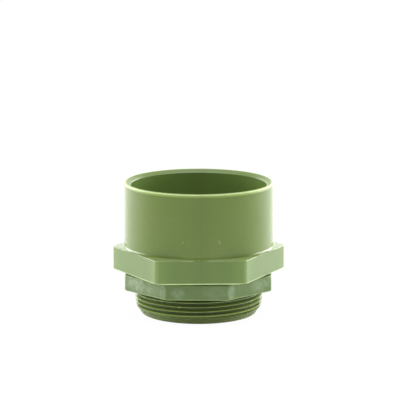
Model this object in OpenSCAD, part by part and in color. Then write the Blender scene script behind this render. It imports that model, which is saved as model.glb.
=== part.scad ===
// PVC male conduit connector, 2 in trade size, with its locknut.
// The body stands on the end of its threaded spigot: the origin is the centre
// of that end and +Z runs up to the mouth of the conduit socket.
// One flat of the hexagonal flange faces -Y.

/* [Conduit socket] */
// Outer diameter of the conduit that the socket takes
conduit_od = 63; // [50:0.1:66]
// Radial clearance between the conduit and the bore
conduit_gap = 0.1; // [0.05:0.05:0.5]
// Thickness of the socket wall just under its rim
socket_wall = 2.95; // [2.6:0.05:5]
// Growth of the socket's outer radius from rim to flange, for release from the mould
socket_draft = 0.15; // [0:0.05:0.5]
// Height of the socket above the flange
socket_h = 30.5; // [20:0.1:45]
// Depth of the bore from the mouth to the stop that the conduit seats on
socket_depth = 36; // [24:0.5:38]
// Width of the chamfer inside the mouth
mouth_chamfer_w = 1.1; // [0.3:0.1:1.2]
// Height of the chamfer inside the mouth
mouth_chamfer_h = 1.7; // [0.5:0.1:3]
// Radius of the rim's outer edge
rim_round = 1.3; // [0.3:0.1:1.4]
// Radius of the concave fillet where the socket meets the flange
socket_fillet = 0.9; // [0.4:0.1:2]

/* [Hexagonal flange] */
// How far the flange's flats stand out past the foot of the socket
flange_land = 0.3; // [0.1:0.1:4]
// Height of the flange
flange_h = 11.1; // [8:0.1:16]
// Radius of the flange's upright corners
flange_corner_r = 1.5; // [0.4:0.1:3]
// Radius of the flange's top edges
flange_top_r = 0.4; // [0.2:0.1:1]
// Radius of the flange's bottom edges
flange_bottom_r = 0.8; // [0.4:0.1:2]
// How far the turned chamfer reaches in from the flange's lower corners
flange_corner_w = 2.6; // [0.5:0.1:4]
// Height that the turned chamfer takes off the flange's lower corners
flange_corner_h = 0.6; // [0.2:0.1:1.5]

/* [Threaded spigot] */
// Major diameter of the thread
thread_od = 59.6; // [56:0.1:61]
// Depth of the thread, from crest to root
thread_depth = 1.4; // [1:0.1:1.7]
// Pitch of the thread, which is the spacing of its grooves
thread_pitch = 2.1; // [1.8:0.05:2.4]
// Width of the flat on each crest
crest_w = 0.3; // [0.15:0.05:0.6]
// Width of the flat at the root of each groove
root_w = 0.5; // [0.2:0.05:0.8]
// Height of the middle of the lowest crest
first_crest_z = 4.2; // [3.8:0.1:6]
// Length of the spigot below the flange
spigot_h = 20.2; // [18:0.1:28]
// Height of the plain tapered lead-in at the spigot's end
lead_in_h = 3.4; // [2:0.1:5]
// How far the lead-in's upper end lies inside the thread's crests
lead_in_drop = 0.9; // [0.3:0.1:1.2]
// Taper of the lead-in, on radius
lead_in_taper = 1.7; // [0.5:0.1:1.8]
// Radius of the lead-in's bottom edge
lead_in_round = 0.9; // [0.2:0.1:0.9]
// Height over which the thread's crests rise to their full radius
run_in_h = 3.2; // [0.5:0.1:5]
// Thickness of the wall under the thread, round the passage for the wires
spigot_wall = 3; // [2:0.1:5]
// Radius of the rounded throat, where the passage leaves the socket
throat_round = 2; // [0.5:0.1:3]
// Size of the chamfer inside the passage's lower end
passage_chamfer = 0.4; // [0.2:0.1:0.6]

/* [Locknut] */
// Thickness of the nut's wall at its flats
nut_wall = 4; // [3:0.1:8]
// Height of the nut
nut_h = 7.25; // [5:0.05:9]
// Radial clearance between the nut's bore and the thread's crests
nut_clearance = 0.15; // [0.1:0.05:0.4]
// Gap between the nut and the flange as shown
nut_gap = 0.25; // [0.1:0.05:3]
// Turn of the nut away from one of its flats facing front
nut_turn = -2.95; // [-22:0.05:22]
// Radius of the nut's upright corners
nut_corner_r = 1; // [0.3:0.1:2]
// Radius of the nut's top and bottom edges
nut_edge_r = 0.5; // [0.2:0.1:1]
// How far the turned chamfers reach in from the nut's corners
nut_corner_w = 0.7; // [0.3:0.1:2.5]
// Height that each turned chamfer takes off the nut's corners
nut_corner_h = 0.4; // [0.3:0.1:1.5]
// Size of the chamfer at each end of the nut's bore
nut_bore_chamfer = 0.9; // [0.3:0.1:1.4]

/* [Hidden] */
// Number of sides drawn for a full circle
$fn = 128;

plastic = [0.45, 0.53, 0.31];
nut_plastic = [0.42, 0.51, 0.33];
hex_sides = 6;
nut_sides = 8;
overrun = 1;    // how far a cutting shape runs past what it cuts

bore_r = conduit_od / 2 + conduit_gap;
rim_r = bore_r + socket_wall;
socket_base_r = rim_r + socket_draft;
flange_z = spigot_h;
flange_top_z = flange_z + flange_h;
rim_z = flange_top_z + socket_h;
flange_af = 2 * (socket_base_r + flange_land);
stop_z = rim_z - socket_depth;

thread_r = thread_od / 2;
thread_root_r = thread_r - thread_depth;
thread_full_z = lead_in_h + run_in_h;
thread_grooves = floor((flange_z - first_crest_z) / thread_pitch);
lead_in_top_r = thread_r - lead_in_drop;
lead_in_r = lead_in_top_r - lead_in_taper;
passage_r = thread_root_r - spigot_wall;
throat_r = min(throat_round, (bore_r - passage_r) / 2);

nut_top_z = flange_z - nut_gap;
nut_bottom_z = nut_top_z - nut_h;
nut_bore_r = thread_r + nut_clearance;
nut_af = 2 * (nut_bore_r + nut_wall);
flange_corner_reach = flange_af / 2 / cos(180 / hex_sides);
nut_corner_reach = nut_af / 2 / cos(180 / nut_sides);

// A bar's section, standing on y = 0 and centred on x = 0, with rounded edges.
module bar_section(width, height, low_r, high_r) {
    half = width / 2;
    polygon([
        [low_r - half, 0], [half - low_r, 0],
        [half, low_r], [half, height - high_r],
        [half - high_r, height], [high_r - half, height],
        [-half, height - high_r], [-half, low_r]
    ]);
    for (side = [-1, 1]) {
        translate([side * (half - low_r), low_r]) circle(low_r);
        translate([side * (half - high_r), height - high_r]) circle(high_r);
    }
}

// A regular polygon with a flat facing -Y and true arcs at its corners.
module rounded_polygon(sides, across_flats, corner_r) {
    half_step = 180 / sides;
    reach = (across_flats / 2 - corner_r) / cos(half_step);
    corners = [for (k = [0 : sides - 1]) -90 + half_step + k * 2 * half_step];
    polygon([
        for (a = corners, turn = [-half_step, half_step])
            reach * [cos(a), sin(a)] + corner_r * [cos(a + turn), sin(a + turn)]
    ]);
    for (a = corners)
        translate(reach * [cos(a), sin(a)]) circle(corner_r);
}

// A prism whose flat sides roll over into its ends: what rounded bars share,
// one bar between each pair of opposite flats.
module rolled_prism(sides, across_flats, height, low_r, high_r, corner_r) {
    intersection() {
        intersection_for (k = [0 : sides / 2 - 1])
            rotate(90 + k * 360 / sides)
                rotate([90, 0, 0])
                    linear_extrude(2 * across_flats, center = true)
                        bar_section(across_flats, height, low_r, high_r);
        linear_extrude(height)
            rounded_polygon(sides, across_flats, corner_r);
    }
}

// Outside of the socket: drafted wall and rounded rim.
module socket_outside() {
    rotate_extrude() {
        polygon([
            [0, flange_top_z - overrun], [socket_base_r, flange_top_z - overrun],
            [socket_base_r, flange_top_z + socket_fillet],
            [rim_r, rim_z - rim_round], [rim_r - rim_round, rim_z], [0, rim_z]
        ]);
        translate([rim_r - rim_round, rim_z - rim_round]) circle(rim_round);
    }
}

// Fillet round the foot of the socket. The flange's flats cut it off where it
// would run out past them.
module socket_foot() {
    intersection() {
        rotate_extrude()
            difference() {
                translate([socket_base_r - overrun, flange_top_z - overrun])
                    square([overrun + socket_fillet, overrun + socket_fillet]);
                translate([socket_base_r + socket_fillet, flange_top_z + socket_fillet])
                    circle(socket_fillet);
            }
        translate([0, 0, flange_z])
            linear_extrude(flange_h + socket_fillet)
                rounded_polygon(hex_sides, flange_af, flange_corner_r);
    }
}

// Blank turned to a shallow cone at its ends, which takes a prism's corners down.
module turned_blank(reach, height, low_w, low_h, high_w, high_h) {
    rotate_extrude()
        polygon([
            [0, 0], [reach - low_w, 0], [reach, low_h],
            [reach, height - high_h], [reach - high_w, height], [0, height]
        ]);
}

module hex_flange() {
    translate([0, 0, flange_z])
        intersection() {
            rolled_prism(hex_sides, flange_af, flange_h,
                         flange_bottom_r, flange_top_r, flange_corner_r);
            turned_blank(flange_corner_reach, flange_h,
                         flange_corner_w, flange_corner_h, 0, 0);
        }
}

// Section of one thread groove, with its root at x = 0 and its middle at y = 0.
module groove_section() {
    mouth_w = thread_pitch - crest_w;
    flank = (mouth_w - root_w) / 2 / thread_depth;
    polygon([
        [0, -root_w / 2],
        [thread_depth + overrun, -mouth_w / 2 - flank * overrun],
        [thread_depth + overrun, mouth_w / 2 + flank * overrun],
        [0, root_w / 2]
    ]);
}

// Spigot at the thread's major diameter, with its run-in and plain lead-in.
// Level grooves at the thread's pitch stand for its right-hand helix, and line
// up with it at the front.
module spigot() {
    rotate_extrude() {
        difference() {
            polygon([
                [0, 0], [lead_in_r - lead_in_round, 0], [lead_in_r, lead_in_round],
                [lead_in_top_r, lead_in_h], [thread_r, thread_full_z],
                [thread_r, flange_z + overrun], [0, flange_z + overrun]
            ]);
            for (k = [1 : thread_grooves])
                translate([thread_root_r, first_crest_z + (k - 0.5) * thread_pitch])
                    groove_section();
        }
        translate([lead_in_r - lead_in_round, lead_in_round]) circle(lead_in_round);
    }
}

// The way through: mouth chamfer, conduit bore, stop, rounded throat, passage.
module way_through() {
    rotate_extrude() {
        polygon([
            [0, -overrun],
            [passage_r + passage_chamfer + overrun, -overrun],
            [passage_r + passage_chamfer, 0], [passage_r, passage_chamfer],
            [passage_r, stop_z], [bore_r, stop_z],
            [bore_r, rim_z - mouth_chamfer_h],
            [bore_r + mouth_chamfer_w, rim_z],
            [bore_r + mouth_chamfer_w, rim_z + overrun],
            [0, rim_z + overrun]
        ]);
        difference() {
            translate([passage_r - overrun, stop_z - throat_r])
                square([overrun + throat_r, throat_r]);
            translate([passage_r + throat_r, stop_z - throat_r])
                circle(throat_r);
        }
    }
}

// Socket, flange and threaded spigot, moulded in one piece.
module connector_body() {
    color(plastic)
        difference() {
            union() {
                socket_outside();
                socket_foot();
                hex_flange();
                spigot();
            }
            way_through();
        }
}

// Bore of the nut, opened by a chamfer at each end.
module nut_bore() {
    rotate_extrude()
        polygon([
            [0, -overrun], [nut_bore_r + nut_bore_chamfer + overrun, -overrun],
            [nut_bore_r, nut_bore_chamfer], [nut_bore_r, nut_h - nut_bore_chamfer],
            [nut_bore_r + nut_bore_chamfer + overrun, nut_h + overrun],
            [0, nut_h + overrun]
        ]);
}

// Octagonal locknut that clamps an enclosure's wall against the flange.
module locknut() {
    color(nut_plastic)
        translate([0, 0, nut_bottom_z])
            rotate(nut_turn)
                difference() {
                    intersection() {
                        rolled_prism(nut_sides, nut_af, nut_h,
                                     nut_edge_r, nut_edge_r, nut_corner_r);
                        turned_blank(nut_corner_reach, nut_h,
                                     nut_corner_w, nut_corner_h,
                                     nut_corner_w, nut_corner_h);
                    }
                    nut_bore();
                }
}

connector_body();
locknut();
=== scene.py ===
# PVC conduit connector with its locknut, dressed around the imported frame.
# Shapes are drawn in millimetres, like the dictionaries beside them, and finished in metres.
import math
import bmesh
import bpy
from mathutils import Matrix, Vector


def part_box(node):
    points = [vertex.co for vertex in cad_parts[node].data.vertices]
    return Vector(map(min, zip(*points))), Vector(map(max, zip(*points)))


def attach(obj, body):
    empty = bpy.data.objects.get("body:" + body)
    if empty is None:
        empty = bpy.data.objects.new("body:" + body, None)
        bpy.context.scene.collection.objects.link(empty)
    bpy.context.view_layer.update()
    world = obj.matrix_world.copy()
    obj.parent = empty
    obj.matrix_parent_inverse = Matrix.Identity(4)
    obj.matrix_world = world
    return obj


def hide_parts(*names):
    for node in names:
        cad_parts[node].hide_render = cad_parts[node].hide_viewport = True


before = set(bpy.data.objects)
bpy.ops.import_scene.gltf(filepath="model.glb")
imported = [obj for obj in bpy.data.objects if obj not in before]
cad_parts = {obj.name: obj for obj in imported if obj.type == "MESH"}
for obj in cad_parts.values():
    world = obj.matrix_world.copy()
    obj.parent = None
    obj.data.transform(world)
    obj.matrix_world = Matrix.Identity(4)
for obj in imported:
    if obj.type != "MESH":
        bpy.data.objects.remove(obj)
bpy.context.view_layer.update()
print("frame loaded:", sorted(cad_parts))

mm = 0.001
rimZ = (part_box("connector_body")[1] / mm).z
nutLow, nutHigh = (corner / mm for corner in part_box("locknut"))
spinSteps = 192        # steps round a turned shape
cornerSteps, edgeSteps = 6, 5        # across a rounded corner and a broken edge
weldGap = 0.002        # vertices nearer than this are one
cutGap = 0.00001        # a vertex this near a cut lies on it
crispDeg = 32        # faces that meet more sharply than this keep a crisp edge


# Mesh helpers

def arc(centreX, centreZ, radius, fromDeg, toDeg, count, tall=1):        # tall makes it an ellipse
    turns = [math.radians(fromDeg + (toDeg - fromDeg) * i / count) for i in range(count + 1)]
    return [(centreX + radius * math.cos(t), centreZ + tall * radius * math.sin(t)) for t in turns]


def turned(profile):        # solid turned round the Z axis
    bm = bmesh.new()
    verts = [bm.verts.new((x, 0, z)) for x, z in profile]
    edges = [bm.edges.new(pair) for pair in zip(verts, verts[1:] + verts[:1])]
    bmesh.ops.spin(bm, geom=verts + edges, cent=(0, 0, 0), axis=(0, 0, 1),
                   angle=2 * math.pi, steps=spinSteps, use_merge=True)
    bmesh.ops.remove_doubles(bm, verts=bm.verts, dist=weldGap)
    bmesh.ops.dissolve_degenerate(bm, edges=bm.edges, dist=weldGap / 2)
    bmesh.ops.recalc_face_normals(bm, faces=bm.faces)
    return bm


def bevelWhere(bm, test, offset, segments):
    edges = [edge for edge in bm.edges if test(edge)]
    bmesh.ops.bevel(bm, geom=edges, affect="EDGES", offset=offset, offset_type="OFFSET",
                    segments=segments, profile=0.5, material=-1)


def isUpright(edge):
    first, second = (vert.co for vert in edge.verts)
    return abs(first.z - second.z) > abs(first.x - second.x) + abs(first.y - second.y)


def isLevel(edge, height):
    return all(abs(vert.co.z - height) < weldGap for vert in edge.verts)


def reachOf(spec):        # from the middle of a prism to its corners, before they are rounded
    return spec["acrossFlats"] / 2 / math.cos(math.pi / spec["sides"])


def prism(spec, lowZ, highZ):        # bar stock with its corners and edges broken
    bm = bmesh.new()
    bmesh.ops.create_circle(bm, cap_ends=True, segments=spec["sides"], radius=reachOf(spec))
    bmesh.ops.rotate(bm, verts=bm.verts, cent=(0, 0, 0),
                     matrix=Matrix.Rotation(math.radians(spec["turnDeg"]), 3, "Z"))
    bmesh.ops.translate(bm, verts=bm.verts, vec=(0, 0, lowZ))
    risen = bmesh.ops.extrude_face_region(bm, geom=bm.faces[:])["geom"]
    bmesh.ops.translate(bm, vec=(0, 0, highZ - lowZ),
                        verts=[item for item in risen if isinstance(item, bmesh.types.BMVert)])
    bevelWhere(bm, isUpright, spec["cornerR"] * math.tan(math.pi / spec["sides"]), cornerSteps)
    for height, radius in ((lowZ, spec["lowR"]), (highZ, spec["highR"])):
        bevelWhere(bm, lambda edge: isLevel(edge, height), radius, edgeSteps)
    bmesh.ops.recalc_face_normals(bm, faces=bm.faces)
    return bm


def blank(bm, name):        # object made from a bmesh
    mesh = bpy.data.meshes.new(name)
    bm.to_mesh(mesh)
    bm.free()
    obj = bpy.data.objects.new(name, mesh)
    bpy.context.scene.collection.objects.link(obj)
    return obj


def freeze(obj):        # modifiers become the mesh
    bpy.context.view_layer.update()
    shaped = bpy.data.meshes.new_from_object(obj.evaluated_get(bpy.context.evaluated_depsgraph_get()))
    obj.modifiers.clear()
    obj.data, worn = shaped, obj.data
    bpy.data.meshes.remove(worn)


def work(obj, tool, operation):        # joins or cuts with the tool, which is used up
    cut = obj.modifiers.new(operation, "BOOLEAN")
    cut.operation, cut.solver, cut.object = operation, "EXACT", tool
    freeze(obj)
    toolMesh = tool.data
    bpy.data.objects.remove(tool)
    bpy.data.meshes.remove(toolMesh)
    print("  ", operation.lower(), len(obj.data.polygons), "faces")


def weld(mesh):        # closes up the slivers that cutting left
    bm = bmesh.new()
    bm.from_mesh(mesh)
    bmesh.ops.remove_doubles(bm, verts=bm.verts, dist=weldGap)
    bmesh.ops.dissolve_degenerate(bm, edges=bm.edges, dist=weldGap)
    bm.to_mesh(mesh)
    bm.free()


def finishMesh(obj, material):        # metres, crisp flats, soft edges
    weld(obj.data)
    obj.data.transform(Matrix.Scale(mm, 4))
    obj.data.shade_smooth()
    obj.data.set_sharp_from_angle(angle=math.radians(crispDeg))
    flats = obj.modifiers.new("flats", "WEIGHTED_NORMAL")
    flats.keep_sharp = True
    freeze(obj)
    obj.data.name = obj.name
    obj.data.materials.clear()
    obj.data.materials.append(material)


# Shader helpers

class Wire:        # a socket that takes part in sums
    def __init__(self, tree, socket):
        self.tree, self.socket = tree, socket

    def sum(self, operation, left, right):
        step = self.tree.nodes.new("ShaderNodeMath")
        step.operation = operation
        for slot, value in zip(step.inputs, (left, right)):
            plug(self.tree, slot, value)
        return Wire(self.tree, step.outputs[0])

    def __add__(self, other):
        return self.sum("ADD", self, other)

    def __sub__(self, other):
        return self.sum("SUBTRACT", self, other)

    def __rsub__(self, other):
        return self.sum("SUBTRACT", other, self)

    def __mul__(self, other):
        return self.sum("MULTIPLY", self, other)

    __radd__, __rmul__ = __add__, __mul__


def plug(tree, slot, value):
    if isinstance(value, Wire):
        tree.links.new(value.socket, slot)
    else:
        slot.default_value = value


class Finish:        # one material and its nodes
    def __init__(self, name):
        self.material = bpy.data.materials.new(name)
        self.material.use_nodes = True
        self.tree = self.material.node_tree
        self.surface = self.tree.nodes["Principled BSDF"]

    def node(self, kind, settings=None, values=None, out=0):
        made = self.tree.nodes.new("ShaderNode" + kind)
        for name, value in (settings or {}).items():
            setattr(made, name, value)
        for name, value in (values or {}).items():
            plug(self.tree, made.inputs[name], value)
        return Wire(self.tree, made.outputs[out])

    def step(self, value, low, high):        # 0 under low, 1 over high
        return self.node("MapRange", {"interpolation_type": "SMOOTHSTEP"},
                         {"Value": value, "From Min": low, "From Max": high})

    def mix(self, amount, first, second):
        return self.node("Mix", {"data_type": "RGBA"}, {0: amount, 6: first, 7: second}, out=2)

    def set(self, **values):
        for name, value in values.items():
            plug(self.tree, self.surface.inputs[name.replace("_", " ")], value)


class TurnedFinish(Finish):        # one that knows heights and radii, and has masks of 0 to 1 for them
    def __init__(self, name):
        super().__init__(name)
        self.place = self.node("TexCoord", out="Object")
        self.across, self.deep, self.up = (self.part(self.place, axis) for axis in range(3))
        self.outward = self.across * self.across + self.deep * self.deep        # from the axis, squared
        self.front = self.step(-1 * self.deep, 0, mm)

    def part(self, vector, axis):
        return self.node("SeparateXYZ", {}, {"Vector": vector}, out=axis)

    def noise(self, scale, detail, distortion):
        return self.node("TexNoise", {}, {"Vector": self.place, "Scale": scale, "Detail": detail,
                                          "Distortion": distortion})

    def beyond(self, fromR, toR):        # sets in between two radii
        return self.step(self.outward, (fromR * mm) ** 2, (toR * mm) ** 2)

    def ring(self, inR, fullR, fadeR, outR):        # full between the middle two of four radii
        return self.beyond(inR, fullR) * (1 - self.beyond(fadeR, outR))

    def level(self, lowZ, highZ, soft):        # 1 between two heights
        risen = self.step(self.up, (lowZ - soft) * mm, (lowZ + soft) * mm)
        return risen * (1 - self.step(self.up, (highZ - soft) * mm, (highZ + soft) * mm))

    def stripe(self, width):        # upright, down the middle of the front and the back
        return 1 - self.step(self.across * self.across, 0, (width * mm / 2) ** 2)

    def scuff(self, x, z, leanDeg, length, width):
        lean = math.radians(leanDeg)        # positive leans to the left
        offX, offZ = self.across - x * mm, self.up - z * mm
        aside = offX * math.cos(lean) + offZ * math.sin(lean)
        along = offZ * math.cos(lean) - offX * math.sin(lean)
        thin = 1 - self.step(aside * aside, 0, (width / 2 * mm) ** 2)
        return thin * (1 - self.step(along * along, 0, (length / 2 * mm) ** 2))

    def haze(self, x, z, halfW, halfH):
        offX, offZ = (self.across - x * mm) * (1 / (halfW * mm)), (self.up - z * mm) * (1 / (halfH * mm))
        return 1 - self.step(offX * offX + offZ * offZ, 0, 1)


# Green moulded plastic

# A noise is its scale, detail and distortion.
bodyPlastic = {
    "colour": (0.117, 0.189, 0.021, 1),
    "warmColour": (0.127, 0.191, 0.024, 1),
    # dust, hazes and scuffs, and the painted light on the flange's other faces
    "dustAndLightColour": (0.46, 0.52, 0.36, 1),
    # painted highlights along edges, and the nicks
    "highlightAndNickColour": (0.56, 0.68, 0.34, 1),
    "roughness": 0.25,
    "mottle": (55, 2, 0.4),
}
nutPlastic = {
    "colour": (0.096, 0.172, 0.034, 1),
    "warmColour": (0.106, 0.176, 0.038, 1),
    "dustAndLightColour": (0.35, 0.43, 0.30, 1),
    # painted highlights along edges, and the nicks
    "highlightAndNickColour": (0.27, 0.38, 0.16, 1),
    "roughness": 0.32,
    "mottle": (70, 2, 0.4),
}

# What both share. A pair whose name ends in At is where a mask sets in and where it is full.
plastic = {
    # painted shade, the seam's line and the grain's specks are mixed towards this dark colour
    "shadeSeamGrainColour": (0.009, 0.020, 0.002, 1),
    "ior": 1.52,
    "grain": (1300, 2, 0),
    "ragged": (420, 3, 0),        # breaks up the painted edge highlights, nicks and hazes
    "cloud": (120, 3, 0),        # of the dust
    "mottleAt": (0.35, 0.65),
    "speckleAt": (0.3, 0.7),        # of the grain
    "cloudAt": (0.50, 0.80),
    "hazeAt": (0.15, 0.80),
    "nickAt": (0.60, 0.72),
    "downwardAt": (0.2, 0.5),        # how far a flank of the thread looks down
    "lipAt": (60.0, 61.0),        # heights
    "seamDark": 0.05,
    # painted shade in a band down the middle of the front and the back
    "bandShade": 0.06,
    "speckleDark": 0.07,
    "nickPale": 0.8,
    "highlightLeast": 0.5,        # of an edge highlight's strength, where the ragged noise is lowest
    "mottleDull": 0.06,        # what each adds to the roughness
    "paintedShadeDull": 0.65,
    "lipDull": 0.22,
    "grainRelief": 0.35,        # shares of the relief's height
    "mottleRelief": 2.5,
    "seamRelief": 3,
    "reliefH": 0.06,
    "reliefStrength": 0.25,
    "markSoft": 0.1,        # half the width over which a mark's edge fades
    "highlightSoft": 0.05,
    "paintedShadeSoft": 0.3,
    "radiusSoft": 0.2,        # the whole width over which one sets in, outwards
}

# A tint is a lowest and highest height, the radii between which it sets in, and a colour.
bodyTints = (
    (20.0, 31.1, 34.75, 34.95, (0.114, 0.195, 0.030, 1)),        # the flange is greener than the socket
    (20.0, 31.1, 36.4, 40.4, (0.152, 0.252, 0.046, 1)),        # and light shows through its corners
    (60.3, 62.5, 33.2, 33.4, (0.215, 0.305, 0.054, 1)),        # as through the rim
    (60.7, 61.7, 33.7, 33.9, (0.290, 0.400, 0.085, 1)),
    (26.0, 62.5, 32.4, 31.9, (0.147, 0.228, 0.056, 1)),        # inside the socket
    (3.6, 20.0, 28.6, 29.5, (0.250, 0.340, 0.085, 1)),        # painted highlight on the thread's crests
    (-0.1, 3.3, 25.0, 26.0, (0.150, 0.205, 0.058, 1)),        # painted light from the floor below: the spigot's end, paler downwards
    (-0.1, 1.5, 25.0, 26.0, (0.190, 0.250, 0.080, 1)),
    (-0.1, 0.7, 25.0, 26.0, (0.250, 0.310, 0.120, 1)),
)

# Wear, moulding marks, painted shade and painted light. An edge highlight is a painted highlight along an
# edge, made ragged
# like wear: a lowest and highest height, a least radius and a strength. A scuff is x, z, lean in degrees,
# length, width and strength. A haze is x, z, half its width, half its height and a strength. Scuffs and
# hazes lie on the side that faces the front.
# A painted face light makes faces paler: a place from front to back behind which it sets in, two radii as
# a tint has, two heights and a strength.
bodyWearAndLight = {
    "dust": 0,
    "edgeHighlights": ((20.00, 20.88, 34.2, 0.85), (31.05, 31.5, 35.05, 0.25), (61.18, 61.62, 33.7, 0.90)),
    "scuffs": ((-8.1, 39.6, -15, 1.6, 0.46, 0.34), (8.4, 39.7, 24, 2.6, 0.46, 0.46),
               (-22.6, 50.0, -30, 1.6, 0.30, 0.20), (-28.3, 54.7, 0, 0.6, 0.5, 0.24)),
    "hazes": (),
    "paintedFaceLights": ((-34.8, 34.8, 34.95, 20.2, 31.1, 0.10),),        # painted light: the flange's faces other than its front are paler, so the front is its darkest face
    "nicks": (3.8, 20.0, 29.45, 29.70),        # on the thread's crests, placed as a tint is
    "seamW": 1.1,        # of the parting line, front and back
    "outerR": 33.5,        # that line and the scuffs keep this far from the axis
    "shadeBandW": 12.0,        # of the band of painted shade round the line, darker down the middle of the front and the back
    "paintedShade": 0.85,
    "valleyR": (27.43, 28.0, 28.0, 29.0),        # painted shade lies in the thread's valleys
    "underR": (28.0, 28.14, 29.716, 29.998),        # and under its flanks, where they look down
    "paintedShadeZ": (3.8, 21.0),
}
nutWearAndLight = {
    "dust": 0.10,
    "edgeHighlights": ((12.60, 13.20, 33.0, 0.8),),
    "scuffs": ((1.5, 16.0, 0, 6.0, 0.4, 0.12),),
    "hazes": ((-31.0, 17.2, 6.4, 4.8, 0.62), (-26.0, 16.0, 6.4, 4.4, 0.40),
              (-21.0, 15.4, 4.0, 3.4, 0.16), (-17.2, 15.8, 1.8, 4.6, 0.34),
              (13.8, 16.6, 2.2, 4.6, 0.48), (-10.6, 16.0, 4.0, 3.2, 0.40),
              (26.8, 16.6, 5.0, 4.0, 0.34), (31.5, 18.0, 3.0, 3.4, 0.26),
              (6.0, 16.0, 8.0, 4.0, 0.16)),
    "paintedFaceLights": (),
    "nicks": (12.6, 13.2, 36.0, 36.6),        # on the lower corners
    "seamW": 0.5,
    "outerR": 33.5,
    "shadeBandW": 8.0,
    "paintedShade": 0.85,
    "valleyR": (27.43, 28.0, 28.0, 29.6),
    "underR": (28.0, 28.14, 30.331, 30.618),
    "paintedShadeZ": (12.0, 21.0),
}


# Painted shade: darker in the thread's valleys and on its flanks that look down
def paintedShadeOn(finish, wearAndLight):
    downward = finish.part(finish.node("NewGeometry", out="Normal"), 2) * -1
    under = finish.step(downward, *plastic["downwardAt"]) * finish.ring(*wearAndLight["underR"])
    paintedShade = wearAndLight["paintedShade"] * (finish.ring(*wearAndLight["valleyR"]) + under)
    return paintedShade * finish.level(*wearAndLight["paintedShadeZ"], plastic["paintedShadeSoft"])


def highlightsAndNicksOn(finish, wearAndLight, ragged):        # painted highlights along edges, made ragged like wear, with the nicks
    highlighted = 0
    for lowZ, highZ, leastR, strength in wearAndLight["edgeHighlights"]:
        edge = finish.level(lowZ, highZ, plastic["highlightSoft"])
        edge = edge * finish.beyond(leastR, leastR + plastic["radiusSoft"])
        highlighted = highlighted + strength * edge * (plastic["highlightLeast"] + ragged)
    lowZ, highZ, fromR, toR = wearAndLight["nicks"]
    nicked = finish.step(ragged, *plastic["nickAt"]) * finish.level(lowZ, highZ, plastic["markSoft"])
    return highlighted + plastic["nickPale"] * nicked * finish.beyond(fromR, toR)


def paleOn(finish, wearAndLight, ragged, outer):        # dust, hazes, scuffs, and painted light that makes faces away from the front paler
    soft = plastic["markSoft"]
    pale = wearAndLight["dust"] * finish.step(finish.noise(*plastic["cloud"]), *plastic["cloudAt"])
    for *spot, strength in wearAndLight["hazes"]:
        torn = strength * finish.front * finish.step(ragged, *plastic["hazeAt"])
        pale = pale + torn * finish.haze(*spot)
    for *spot, strength in wearAndLight["scuffs"]:
        pale = pale + strength * finish.front * outer * finish.scuff(*spot)
    for behindY, fromR, toR, lowZ, highZ, strength in wearAndLight["paintedFaceLights"]:
        behind = finish.step(finish.deep, (behindY - soft) * mm, (behindY + soft) * mm)
        pale = pale + strength * behind * finish.beyond(fromR, toR) * finish.level(lowZ, highZ, soft)
    return pale


def mouldedPlastic(name, spec, tints, wearAndLight):
    finish = TurnedFinish(name)
    mottle, grain, ragged = (finish.noise(*kind) for kind in (spec["mottle"], plastic["grain"],
                                                              plastic["ragged"]))
    outer = finish.beyond(wearAndLight["outerR"], wearAndLight["outerR"] + plastic["radiusSoft"])
    seam = outer * finish.stripe(wearAndLight["seamW"])
    # painted shade in the thread's valleys and under its flanks
    paintedShade = paintedShadeOn(finish, wearAndLight)
    lip = finish.step(finish.up, *(height * mm for height in plastic["lipAt"]))

    base = finish.mix(finish.step(mottle, *plastic["mottleAt"]), spec["colour"], spec["warmColour"])
    for lowZ, highZ, fromR, toR, colour in tints:
        zone = finish.level(lowZ, highZ, plastic["markSoft"]) * finish.beyond(fromR, toR)
        base = finish.mix(zone, base, colour)
    # painted shade in the thread and in a band down the middle, with the seam's line and the grain's
    # specks
    dark = paintedShade + plastic["seamDark"] * seam + plastic["bandShade"] * finish.stripe(wearAndLight["shadeBandW"])
    dark = dark + plastic["speckleDark"] * finish.step(grain, *plastic["speckleAt"])
    base = finish.mix(dark, base, plastic["shadeSeamGrainColour"])
    # painted highlights along edges, and the nicks
    base = finish.mix(highlightsAndNicksOn(finish, wearAndLight, ragged), base, spec["highlightAndNickColour"])
    # dust, hazes, scuffs and painted light on the flange's other faces
    base = finish.mix(paleOn(finish, wearAndLight, ragged, outer), base, spec["dustAndLightColour"])

    rough = spec["roughness"] + plastic["mottleDull"] * (mottle - 0.5)        # 0.5 is the noise's middle
    rough = rough + plastic["paintedShadeDull"] * paintedShade + plastic["lipDull"] * lip
    height = plastic["grainRelief"] * grain + plastic["mottleRelief"] * mottle
    height = height - plastic["seamRelief"] * seam
    relief = finish.node("Bump", {}, {"Strength": plastic["reliefStrength"],
                                      "Distance": plastic["reliefH"] * mm, "Height": height})
    finish.set(Base_Color=base, Roughness=rough, IOR=plastic["ior"], Normal=relief)
    return finish.material


# Thread of the spigot, which the locknut is tapped to

thread = {
    "crestR": 29.8,
    "rootR": 28.4,
    "pitch": 2.1,
    "crestW": 0.26,
    "rootW": 0.50,
    "crestBreak": 0.06,
    "frontCrestZ": 4.2,        # lowest crest where it passes the front
    "stepsPerTurn": 160,
    "spareTurns": 2,        # past either end, and cut off
}


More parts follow.
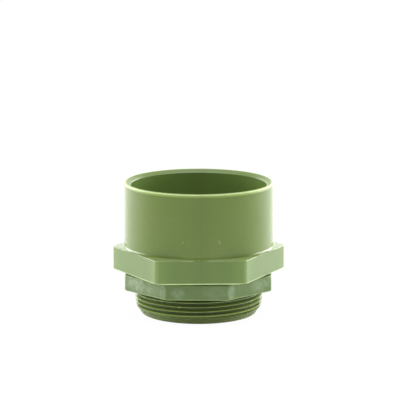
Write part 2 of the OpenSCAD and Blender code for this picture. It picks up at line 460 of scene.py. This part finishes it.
def threadRod(crestR, rootR, lowZ, highZ):        # cut off square and capped
    pitch = thread["pitch"]
    turnsBelow = math.ceil((thread["frontCrestZ"] - lowZ) / pitch + thread["spareTurns"])
    startZ = thread["frontCrestZ"] + pitch / 4 - pitch * turnsBelow        # a quarter turn from the front
    turns = math.ceil((highZ - startZ) / pitch) + thread["spareTurns"]
    halfCrest, halfRoot = thread["crestW"] / 2, thread["rootW"] / 2
    shoulderR, shoulder = crestR - thread["crestBreak"], halfCrest + thread["crestBreak"] / 2
    rising = [(rootR, -pitch / 2), (rootR, halfRoot - pitch / 2),
              (shoulderR, -shoulder), (crestR, -halfCrest)]
    profile = rising + [(x, -z) for x, z in reversed(rising)]
    bm = bmesh.new()
    verts = [bm.verts.new((x, 0, startZ + z)) for x, z in profile]
    edges = [bm.edges.new(pair) for pair in zip(verts, verts[1:])]
    bmesh.ops.spin(bm, geom=verts + edges, cent=(0, 0, 0), axis=(0, 0, 1),
                   angle=2 * math.pi * turns, steps=thread["stepsPerTurn"] * turns,
                   dvec=(0, 0, pitch / thread["stepsPerTurn"]))
    bmesh.ops.remove_doubles(bm, verts=bm.verts, dist=weldGap)
    for height, side in ((lowZ, -1), (highZ, 1)):
        cut = bmesh.ops.bisect_plane(bm, geom=bm.verts[:] + bm.edges[:] + bm.faces[:], dist=cutGap,
                                     plane_co=(0, 0, height), plane_no=(0, 0, side), clear_outer=True)
        rim = [item for item in cut["geom_cut"] if isinstance(item, bmesh.types.BMEdge)]
        bmesh.ops.edgeloop_fill(bm, edges=rim)
    bmesh.ops.recalc_face_normals(bm, faces=bm.faces)
    return bm


# Connector body

socket = {
    "rimR": 34.55,
    "rimRollW": 0.9,
    "rimRollH": 1.3,
    "footR": 34.7,
    "footRound": 1.4,
    "footLap": 1,        # how far the fillet's ring reaches into the socket and the flange
    "footSunk": 0.003,        # the fillet ends this far under its full height, so that no faces coincide
    "trimInset": 0.01,        # the hexagon that trims the fillet is this much smaller than the flange
    "trimFrom": 3,        # and stands this far above the flange's underside
    "trimPast": 6,        # and this far past its top
}
flange = {
    "sides": 6,
    "lowZ": 20.2,
    "highZ": 31.3,
    "acrossFlats": 70.0,
    "turnDeg": 30,        # a flat faces the front
    "cornerR": 3.0,
    "lowR": 0.8,
    "highR": 0.4,
    "cornerTrimW": 2.6,
    "cornerTrimH": 0.6,
    "trimPast": 1,
    "joinH": 2,        # the socket and the threaded rod end inside, this far above the underside
}
spigot = {
    "endR": 27.2,
    "endRound": 0.9,
    "endRoundToDeg": 350,        # where the rounding meets the lead-in's slope
    "leadInR": 28.9,
    "leadInZ": 3.4,
    "leadInCap": 0.3,        # height over which its top closes in to the thread's root
    "crestDip": 0.5,        # how much the first crest is short of full
    "crestRise": 0.4,        # how far above the lead-in that crest is
    "fullZ": 6.6,
    "footR": 26.0,        # the threaded rod's foot hides in the lead-in
    "footZ": (0.5, 1.0, 3.0),        # where the foot starts, where it widens and where it is full
    "fullPast": (0.001, 0.1),        # how far the run-in's cutter clears the full crests, low and high
    "rodPast": 1,        # the rod starts this far under the end, and its top is trimmed by as much
}
inside = {
    "mouthR": 33.65,        # where the mouth meets the rim's top
    "mouthFootDeg": 140,        # the mouth is a shallow arc, so its slope eases from foot to top
    "mouthTopDeg": 118,
    "mouthPast": 0.02,        # how far the mouth passes the rim's top, so that no faces coincide
    "boreR": 31.6,
    "stopZ": 25.8,
    "stopRound": 0.35,
    "throatR": 2.0,
    "passageR": 25.4,
    "endChamfer": 0.4,
    "past": 2,        # how far the cutter passes both ends
}


def socketOutside():
    joinZ = flange["lowZ"] + flange["joinH"]
    rollW, rollH = socket["rimRollW"], socket["rimRollH"]
    return turned([
        (0, joinZ), (socket["footR"], joinZ), (socket["footR"], flange["highZ"] + socket["footRound"]),
        *arc(socket["rimR"] - rollW, rimZ - rollH, rollW, 0, 90, count=10, tall=rollH / rollW),
        (0, rimZ)])


def socketFoot():        # ring whose fillet runs from the flange's top up to the socket
    hollowR, lowZ = socket["footR"] - socket["footLap"], flange["highZ"] - socket["footLap"]
    out = socket["footR"] + socket["footRound"]
    top = flange["highZ"] + socket["footRound"] - socket["footSunk"]
    return turned([(hollowR, lowZ), (out, lowZ), *arc(out, top, socket["footRound"], 270, 180, count=8),
                   (hollowR, top)])


def filletTrim():        # the fillet stops at the flange's flats
    inset = socket["trimInset"]
    slimmer = dict(flange, acrossFlats=flange["acrossFlats"] - inset, lowR=inset, highR=inset)
    return prism(slimmer, flange["lowZ"] + socket["trimFrom"], flange["highZ"] + socket["trimPast"])


def hexFlange():
    lowZ, highZ, reach = flange["lowZ"], flange["highZ"], reachOf(flange)
    pastZ = highZ + flange["trimPast"]
    trim = turned([(0, lowZ), (reach - flange["cornerTrimW"], lowZ),
                   (reach, lowZ + flange["cornerTrimH"]), (reach, pastZ), (0, pastZ)])
    body = blank(prism(flange, lowZ, highZ), "hexFlange")
    work(body, blank(trim, "cornerTrim"), "INTERSECT")
    return body


def wayThrough():        # from the end up: chamfer, passage, throat, stop, bore and mouth
    past, passageR, throatR = inside["past"], inside["passageR"], inside["throatR"]
    boreR, stopZ, stopRound = inside["boreR"], inside["stopZ"], inside["stopRound"]
    footDeg, topDeg = inside["mouthFootDeg"], inside["mouthTopDeg"]
    footTurn, topTurn = math.radians(footDeg), math.radians(topDeg)
    sweep = (inside["mouthR"] - boreR) / (math.cos(topTurn) - math.cos(footTurn))
    centreR = inside["mouthR"] - sweep * math.cos(topTurn)
    centreZ = rimZ + inside["mouthPast"] - sweep * math.sin(topTurn)
    return turned([
        (0, -past), (passageR + inside["endChamfer"] + past, -past),
        (passageR + inside["endChamfer"], 0), (passageR, inside["endChamfer"]),
        *arc(passageR + throatR, stopZ - throatR, throatR, 180, 90, count=8),
        *arc(boreR - stopRound, stopZ + stopRound, stopRound, 270, 360, count=4),
        *arc(centreR, centreZ, sweep, footDeg, topDeg, count=6),
        (inside["mouthR"], rimZ + past), (0, rimZ + past)])


def threadedSpigot():
    crestR, rootR = thread["crestR"], thread["rootR"]
    leadInR, leadInZ, capZ = spigot["leadInR"], spigot["leadInZ"], spigot["leadInZ"] + spigot["leadInCap"]
    footR, (footZ, widenZ, wideZ) = spigot["footR"], spigot["footZ"]
    fullPast, topPast = spigot["fullPast"]
    rodTopZ = flange["lowZ"] + flange["joinH"]
    topZ = rodTopZ - spigot["rodPast"]
    runIn = turned([
        (0, footZ), (footR, footZ), (footR, widenZ), (leadInR, wideZ),
        (crestR - spigot["crestDip"], leadInZ + spigot["crestRise"]),
        (crestR + fullPast, spigot["fullZ"]), (crestR + topPast, topZ), (0, topZ)])
    leadIn = turned([
        (0, 0), *arc(spigot["endR"] - spigot["endRound"], spigot["endRound"], spigot["endRound"],
                     270, spigot["endRoundToDeg"], count=6),
        (leadInR, leadInZ), (rootR, capZ), (0, capZ)])
    rod = blank(threadRod(crestR, rootR, -spigot["rodPast"], rodTopZ), "spigot")
    work(rod, blank(runIn, "runIn"), "INTERSECT")
    work(rod, blank(leadIn, "leadIn"), "UNION")
    return rod


def makeBody():
    body = blank(socketFoot(), "connectorBody")
    work(body, blank(filletTrim(), "filletTrim"), "INTERSECT")
    work(body, hexFlange(), "UNION")
    work(body, blank(socketOutside(), "socketOutside"), "UNION")
    work(body, threadedSpigot(), "UNION")
    work(body, blank(wayThrough(), "wayThrough"), "DIFFERENCE")
    finishMesh(body, mouldedPlastic("bodyPlastic", bodyPlastic, bodyTints, bodyWearAndLight))
    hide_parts("connector_body")
    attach(body, "connector")
    print("connector body made:", len(body.data.polygons), "faces")


# Locknut

locknut = {
    "sides": 8,
    "acrossFlats": 67.9,
    "turnDeg": 22.5 - 2.95,        # a flat almost faces the front
    "cornerR": 2.2,
    "lowR": 0.5,
    "highR": 0.5,
    "cornerTrimW": 0.7,
    "cornerTrimH": 0.4,
    "clearance": 0.15,        # on the spigot's thread, all round
    "boreChamfer": 0.9,
    "past": 1,        # how far a cutter passes the nut's faces
    "sinkH": 2,        # depth of the cone that cuts a bore's chamfer
}


def cornerTrim():
    reach, trimW, trimH = reachOf(locknut), locknut["cornerTrimW"], locknut["cornerTrimH"]
    return turned([(0, nutLow.z), (reach - trimW, nutLow.z), (reach, nutLow.z + trimH),
                   (reach, nutHigh.z - trimH), (reach - trimW, nutHigh.z), (0, nutHigh.z)])


def countersink(faceZ, inward, mouthR):        # inward is 1 or -1, from the face into the nut
    past, sinkH = locknut["past"], locknut["sinkH"]
    outZ, inZ = faceZ - past * inward, faceZ + sinkH * inward
    return turned([(0, outZ), (mouthR + past, outZ), (mouthR - sinkH, inZ), (0, inZ)])


def makeNut():
    nut = blank(prism(locknut, nutLow.z, nutHigh.z), "locknutRing")
    work(nut, blank(cornerTrim(), "cornerTrim"), "INTERSECT")
    crestR, rootR = (thread[key] + locknut["clearance"] for key in ("crestR", "rootR"))
    tap = threadRod(crestR, rootR, nutLow.z - locknut["past"], nutHigh.z + locknut["past"])
    work(nut, blank(tap, "tap"), "DIFFERENCE")
    for faceZ, inward in ((nutLow.z, 1), (nutHigh.z, -1)):
        sink = countersink(faceZ, inward, crestR + locknut["boreChamfer"])
        work(nut, blank(sink, "countersink"), "DIFFERENCE")
    finishMesh(nut, mouldedPlastic("nutPlastic", nutPlastic, (), nutWearAndLight))
    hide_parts("locknut")
    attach(nut, "nut")
    print("locknut made:", len(nut.data.polygons), "faces")


# Studio, in metres

studio = {
    "cameraPlace": (-0.03089, -1.02650, 0.24776),
    "cameraPitchDeg": -10.746,
    "cameraYawDeg": 1.7575,
    "clipStart": 0.01,
    "focalPx": 2245.0,
    "framePx": 400,
    "sensor": 36,        # millimetres
    "floorSize": 6,
    "floorColour": (0.93, 0.93, 0.92, 1),
    "floorRoughness": 0.9,
    "floorWhite": 0.97,        # how far the floor burns out to white in the picture
    "skyLevel": 0.42,
    "aimAt": (0, 0, 0.03),        # where the soft boxes point
}

# A soft box is its name, its place, its width and height, and its power.
softBoxes = (
    ("leftBox", (-0.95, 0.55, 0.30), (1.1, 0.6), 14.2),
    ("rightBox", (0.95, 0.55, 0.30), (1.1, 0.6), 16.2),
    ("backBox", (0, 1.9, 0.6), (2.6, 1.2), 16),
    ("topBox", (0, 0.05, 1.2), (1.4, 1.3), 15),
)


def makeCamera():
    lens = bpy.data.cameras.new("camera")
    lens.sensor_width = studio["sensor"]
    lens.lens = studio["focalPx"] * studio["sensor"] / studio["framePx"]
    lens.clip_start = studio["clipStart"]
    camera = bpy.data.objects.new("camera", lens)
    bpy.context.scene.collection.objects.link(camera)
    pitch, yaw = (math.radians(studio[key]) for key in ("cameraPitchDeg", "cameraYawDeg"))
    aim = Vector((math.sin(yaw) * math.cos(pitch), math.cos(yaw) * math.cos(pitch), math.sin(pitch)))
    camera.rotation_euler = aim.to_track_quat("-Z", "Y").to_euler()
    camera.location = studio["cameraPlace"]
    bpy.context.scene.camera = camera


def makeFloor():
    bm = bmesh.new()
    bmesh.ops.create_grid(bm, x_segments=2, y_segments=2, size=studio["floorSize"] / 2 / mm)
    floor = blank(bm, "floor")
    floor.data.transform(Matrix.Scale(mm, 4))
    paper = Finish("palePaper")
    paper.set(Base_Color=studio["floorColour"], Roughness=studio["floorRoughness"])
    lit = Wire(paper.tree, paper.surface.outputs[0])
    white = paper.node("Emission", {}, {"Color": (1, 1, 1, 1)})
    seen = paper.node("LightPath", out="Is Camera Ray") * studio["floorWhite"]
    shown = paper.node("MixShader", {}, {0: seen, 1: lit, 2: white})
    plug(paper.tree, paper.tree.nodes["Material Output"].inputs["Surface"], shown)
    floor.data.materials.append(paper.material)


def softBox(name, place, size, power):
    lamp = bpy.data.lights.new(name, "AREA")
    lamp.shape, lamp.energy = "RECTANGLE", power
    lamp.size, lamp.size_y = size
    holder = bpy.data.objects.new(name, lamp)
    bpy.context.scene.collection.objects.link(holder)
    holder.location = place
    aim = Vector(studio["aimAt"]) - Vector(place)
    holder.rotation_euler = aim.to_track_quat("-Z", "Y").to_euler()


def makeLight():
    world = bpy.data.worlds.new("studioAir")
    bpy.context.scene.world = world
    world.use_nodes = True
    air = world.node_tree.nodes["Background"]
    air.inputs["Color"].default_value = (1, 1, 1, 1)
    air.inputs["Strength"].default_value = studio["skyLevel"]
    for box in softBoxes:
        softBox(*box)


makeCamera()
makeFloor()
makeLight()
bpy.context.scene.view_settings.view_transform = "Standard"
print("studio set")
makeBody()
makeNut()
